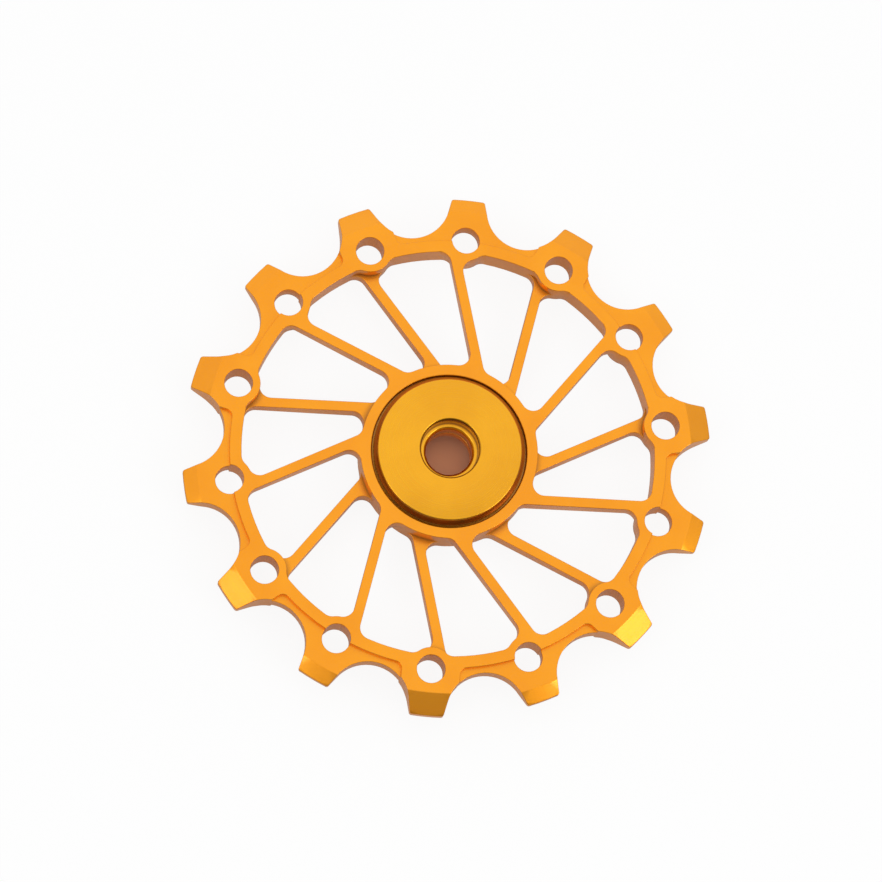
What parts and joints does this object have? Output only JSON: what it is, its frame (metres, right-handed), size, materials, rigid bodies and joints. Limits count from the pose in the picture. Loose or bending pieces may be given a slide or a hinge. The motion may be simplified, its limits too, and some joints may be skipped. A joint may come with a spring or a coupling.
{
  "type": "derailleur jockey wheel",
  "caption": "Machined aluminium bicycle derailleur jockey wheel with alternating narrow and wide teeth, slanted spokes in two layers and a capped ball bearing hub.",
  "frame": {"origin": "middle of the hub, on the axle line", "axes": "+Z along the axle towards the front cap, +X through the middle of a wide tooth"},
  "size_m": [0.0582, 0.0576, 0.0072],
  "materials": {
    "wheel_anodised": "gold anodised, machined",
    "cap_anodised": "gold anodised, turned",
    "race_steel": "ground",
    "ball_steel": "polished",
    "cage_steel": "pressed sheet",
    "seal_rubber": "moulded"
  },
  "bodies": {
    "axle_caps": {"front_cap": "cap_anodised", "rear_cap": "cap_anodised", "bearing_inner_race": "race_steel"},
    "wheel": {"toothed_wheel": "wheel_anodised", "bearing_outer_race": "race_steel", "front_seal": "seal_rubber", "rear_seal": "seal_rubber"},
    "cage": {"cage_front_half": "cage_steel", "cage_rear_half": "cage_steel"},
    "ball_01": {"ball_01": "ball_steel"},
    "ball_02": {"ball_02": "ball_steel"},
    "ball_03": {"ball_03": "ball_steel"},
    "ball_04": {"ball_04": "ball_steel"},
    "ball_05": {"ball_05": "ball_steel"},
    "ball_06": {"ball_06": "ball_steel"},
    "ball_07": {"ball_07": "ball_steel"},
    "ball_08": {"ball_08": "ball_steel"},
    "ball_09": {"ball_09": "ball_steel"},
    "ball_10": {"ball_10": "ball_steel"},
    "ball_11": {"ball_11": "ball_steel"}
  },
  "joints": [
    {"name": "wheel_spin", "type": "hinge", "parent": "axle_caps", "child": "wheel", "pos_m": [0, 0, 0], "axis": [0, 0, 1], "continuous": true},
    {"name": "cage_orbit", "type": "hinge", "parent": "axle_caps", "child": "cage", "pos_m": [0, 0, 0], "axis": [0, 0, 1], "continuous": true},
    {"name": "ball_01_roll", "type": "hinge", "parent": "cage", "child": "ball_01", "pos_m": [0.0055, 0, 0], "axis": [0, 0, 1], "continuous": true},
    {"name": "ball_02_roll", "type": "hinge", "parent": "cage", "child": "ball_02", "pos_m": [0.00463, 0.00297, 0], "axis": [0, 0, 1], "continuous": true},
    {"name": "ball_03_roll", "type": "hinge", "parent": "cage", "child": "ball_03", "pos_m": [0.00228, 0.005, 0], "axis": [0, 0, 1], "continuous": true},
    {"name": "ball_04_roll", "type": "hinge", "parent": "cage", "child": "ball_04", "pos_m": [-0.00078, 0.00544, 0], "axis": [0, 0, 1], "continuous": true},
    {"name": "ball_05_roll", "type": "hinge", "parent": "cage", "child": "ball_05", "pos_m": [-0.0036, 0.00416, 0], "axis": [0, 0, 1], "continuous": true},
    {"name": "ball_06_roll", "type": "hinge", "parent": "cage", "child": "ball_06", "pos_m": [-0.00528, 0.00155, 0], "axis": [0, 0, 1], "continuous": true},
    {"name": "ball_07_roll", "type": "hinge", "parent": "cage", "child": "ball_07", "pos_m": [-0.00528, -0.00155, 0], "axis": [0, 0, 1], "continuous": true},
    {"name": "ball_08_roll", "type": "hinge", "parent": "cage", "child": "ball_08", "pos_m": [-0.0036, -0.00416, 0], "axis": [0, 0, 1], "continuous": true},
    {"name": "ball_09_roll", "type": "hinge", "parent": "cage", "child": "ball_09", "pos_m": [-0.00078, -0.00544, 0], "axis": [0, 0, 1], "continuous": true},
    {"name": "ball_10_roll", "type": "hinge", "parent": "cage", "child": "ball_10", "pos_m": [0.00228, -0.005, 0], "axis": [0, 0, 1], "continuous": true},
    {"name": "ball_11_roll", "type": "hinge", "parent": "cage", "child": "ball_11", "pos_m": [0.00463, -0.00297, 0], "axis": [0, 0, 1], "continuous": true}
  ],
  "couplings": [
    {"joint": "cage_orbit", "follows": "wheel_spin", "ratio": 0.57218},
    {"joint": "ball_01_roll", "follows": "wheel_spin", "ratio": 3.3913},
    {"joint": "ball_02_roll", "follows": "wheel_spin", "ratio": 3.3913},
    {"joint": "ball_03_roll", "follows": "wheel_spin", "ratio": 3.3913},
    {"joint": "ball_04_roll", "follows": "wheel_spin", "ratio": 3.3913},
    {"joint": "ball_05_roll", "follows": "wheel_spin", "ratio": 3.3913},
    {"joint": "ball_06_roll", "follows": "wheel_spin", "ratio": 3.3913},
    {"joint": "ball_07_roll", "follows": "wheel_spin", "ratio": 3.3913},
    {"joint": "ball_08_roll", "follows": "wheel_spin", "ratio": 3.3913},
    {"joint": "ball_09_roll", "follows": "wheel_spin", "ratio": 3.3913},
    {"joint": "ball_10_roll", "follows": "wheel_spin", "ratio": 3.3913},
    {"joint": "ball_11_roll", "follows": "wheel_spin", "ratio": 3.3913}
  ]
}
